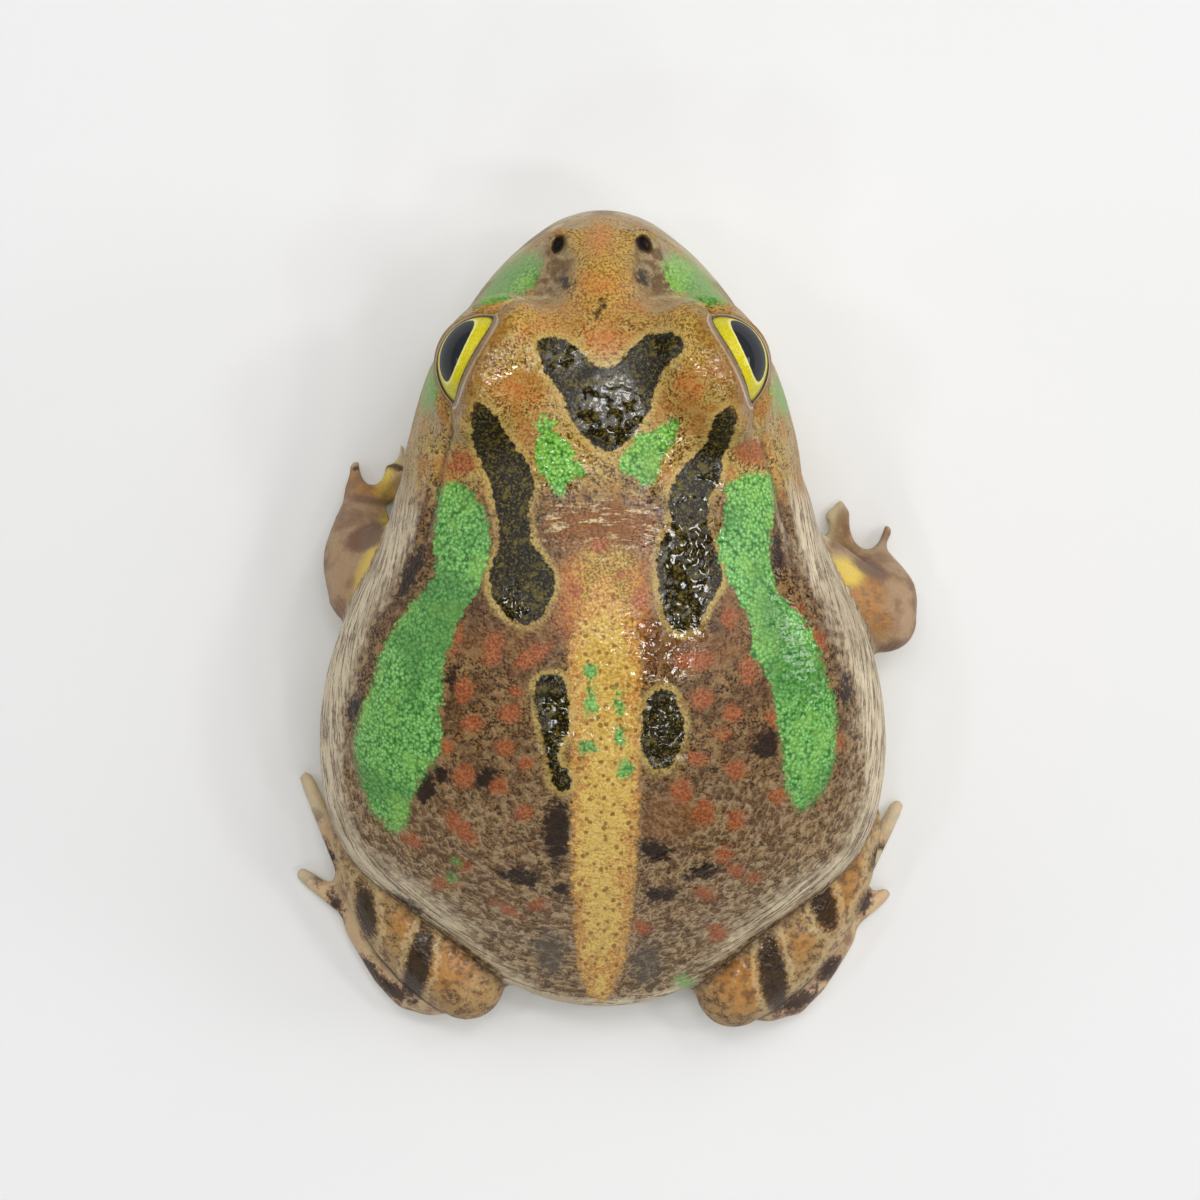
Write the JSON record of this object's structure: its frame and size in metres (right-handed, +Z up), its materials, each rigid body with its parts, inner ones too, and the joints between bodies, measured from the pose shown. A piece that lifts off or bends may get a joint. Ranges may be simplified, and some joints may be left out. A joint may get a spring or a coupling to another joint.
{
  "type": "horned frog",
  "caption": "Still, life-size horned frog that sits on its belly, with folded limbs, a wide mouth and blunt brow horns.",
  "frame": {"origin": "middle of the box on the floor that the frog sits on", "axes": "+Z up, -Y the way the snout points, +X the frog's left side"},
  "size_m": [0.0498, 0.0648, 0.0303],
  "materials": {
    "skin": "wet, finely grained skin",
    "belly_skin": "smooth, pale skin",
    "limb_skin": "damp skin",
    "eye": "wet gloss"
  },
  "bodies": {
    "root": {"head": "skin", "lower_jaw": "belly_skin", "torso": "skin", "eyelid_horn_l": "skin", "eyelid_horn_r": "skin", "eye_l": "eye", "eye_r": "eye", "upper_arm_l": "limb_skin", "upper_arm_r": "limb_skin", "forearm_l": "limb_skin", "forearm_r": "limb_skin", "hand_l": "limb_skin", "hand_r": "limb_skin", "thigh_l": "limb_skin", "thigh_r": "limb_skin", "shank_l": "limb_skin", "shank_r": "limb_skin", "foot_l": "limb_skin", "foot_r": "limb_skin"}
  },
  "joints": []
}
